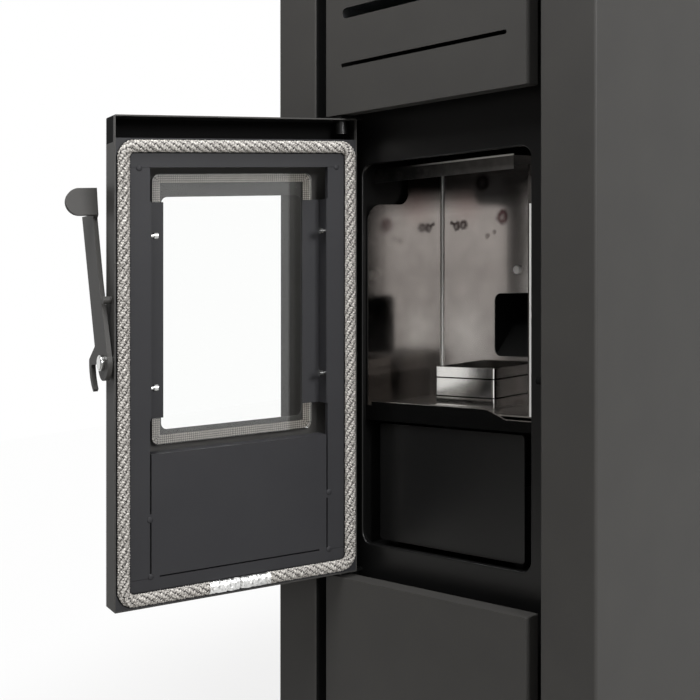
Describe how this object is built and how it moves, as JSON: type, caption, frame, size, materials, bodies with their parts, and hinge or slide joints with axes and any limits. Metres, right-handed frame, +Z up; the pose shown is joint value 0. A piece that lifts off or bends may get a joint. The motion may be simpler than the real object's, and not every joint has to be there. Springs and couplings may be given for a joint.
{
  "type": "pellet stove",
  "caption": "Upright pellet stove with a hinged glazed fire door, rope gasket, claw handle, stainless fire chamber, burn pot, ash drawer and lidded hopper.",
  "frame": {"origin": "middle of the footprint at floor level", "axes": "+Z up, the front looks along -Y, +X is the viewer's right when facing the front"},
  "size_m": [0.5183, 0.8142, 1],
  "materials": {
    "powder_coat": "slim matte anthracite powder coat",
    "stove_black": "satin black stove enamel",
    "stainless": "polished stainless sheet",
    "galvanised": "galvanised sheet",
    "zinc": "bright zinc plating",
    "fan_metal": "plain aluminium",
    "motor_case": "painted motor case",
    "rope": "braided glass-fibre rope",
    "seal_rubber": "black sponge strip",
    "stove_glass": "clear ceramic glass",
    "black_plastic": "fine-grained moulding",
    "circuit": "coated circuit board",
    "ceramic": "fired ceramic rod in a steel collar"
  },
  "bodies": {
    "stove": {"air_intake_pipe": "galvanised", "auger_motor": "motor_case", "auger_tube": "galvanised", "baffle_plate": "stainless", "base_pan": "galvanised", "base_plinth": "powder_coat", "blower_housing": "galvanised", "control_board": "circuit", "control_panel": "powder_coat", "display_module": "circuit", "door_hinges": "stove_black", "exhaust_fan_housing": "galvanised", "exhaust_motor": "motor_case", "face_plate": "stove_black", "firebox_shell": "stove_black", "flue_spigot": "galvanised", "hearth_plate": "stainless", "hopper": "galvanised", "igniter": "ceramic", "left_liner": "stainless", "left_side_panel": "powder_coat", "levelling_feet": "zinc", "lid_hinge_pins": "zinc", "lid_seal": "seal_rubber", "liner_screw": "zinc", "liner_strip": "stainless", "lower_front_panel": "powder_coat", "pellet_chute": "galvanised", "power_inlet": "black_plastic", "rear_liner": "stainless", "rear_panel": "powder_coat", "rear_screws": "zinc", "right_liner": "stainless", "right_side_panel": "powder_coat", "smoke_duct": "galvanised", "top_plate": "powder_coat", "upper_front_panel": "powder_coat", "warm_air_duct": "galvanised"},
    "door": {"door_skin": "powder_coat", "door_inner_frame": "stove_black", "door_gasket": "rope", "gasket_splice": "fan_metal", "door_glass": "stove_glass", "glass_seal": "rope", "glass_clips": "stove_black", "clip_screws": "zinc", "door_lower_plate": "stove_black", "hinge_bushes": "stove_black", "handle_pivot": "zinc"},
    "handle": {"handle_lever": "stove_black"},
    "ash_drawer": {"ash_drawer": "stainless"},
    "burn_pot": {"burn_pot": "stainless"},
    "lid": {"hopper_lid": "powder_coat"},
    "auger": {"auger_screw": "zinc"},
    "exhaust_rotor": {"exhaust_impeller": "fan_metal"},
    "blower_drum": {"blower_rotor": "fan_metal"},
    "power_rocker": {"rocker_switch": "black_plastic"},
    "power_key": {"button_power": "black_plastic"},
    "up_key": {"button_up": "black_plastic"},
    "down_key": {"button_down": "black_plastic"}
  },
  "joints": [
    {"name": "door_hinge", "type": "hinge", "parent": "stove", "child": "door", "pos_m": [-0.1315, -0.227, 0.48], "axis": [0, 0, -1], "range_deg": [-107.5, 15]},
    {"name": "handle_turn", "type": "hinge", "parent": "door", "child": "handle", "pos_m": [-0.21304, -0.49226, 0.4805], "axis": [-0.3007, -0.9537, 0], "range_deg": [-4, 62]},
    {"name": "ash_drawer_slide", "type": "slide", "parent": "stove", "child": "ash_drawer", "axis": [0, -1, 0], "range_m": [0, 0.12]},
    {"name": "burn_pot_lift", "type": "slide", "parent": "stove", "child": "burn_pot", "axis": [0, 0, 1], "range_m": [0, 0.1]},
    {"name": "lid_hinge", "type": "hinge", "parent": "stove", "child": "lid", "pos_m": [0, 0.219, 0.993], "axis": [-1, 0, 0], "range_deg": [0, 80]},
    {"name": "auger_turn", "type": "hinge", "parent": "stove", "child": "auger", "pos_m": [0, 0.13, 0.44], "axis": [0, -0.7071, 0.7071], "continuous": true},
    {"name": "exhaust_fan_turn", "type": "hinge", "parent": "stove", "child": "exhaust_rotor", "pos_m": [0.08, 0.06, 0.11], "axis": [0, 1, 0], "continuous": true},
    {"name": "blower_turn", "type": "hinge", "parent": "stove", "child": "blower_drum", "pos_m": [-0.115, -0.018, 0.076], "axis": [1, 0, 0], "continuous": true},
    {"name": "power_rock", "type": "hinge", "parent": "stove", "child": "power_rocker", "pos_m": [0.175, 0.24, 0.07], "axis": [1, 0, 0], "range_deg": [0, 16]},
    {"name": "power_press", "type": "slide", "parent": "stove", "child": "power_key", "axis": [0, 0, -1], "range_m": [0, 0.0012], "stiffness_N_per_m": 600, "springref_m": -0.0005},
    {"name": "up_press", "type": "slide", "parent": "stove", "child": "up_key", "axis": [0, 0, -1], "range_m": [0, 0.0012], "stiffness_N_per_m": 600, "springref_m": -0.0005},
    {"name": "down_press", "type": "slide", "parent": "stove", "child": "down_key", "axis": [0, 0, -1], "range_m": [0, 0.0012], "stiffness_N_per_m": 600, "springref_m": -0.0005}
  ]
}
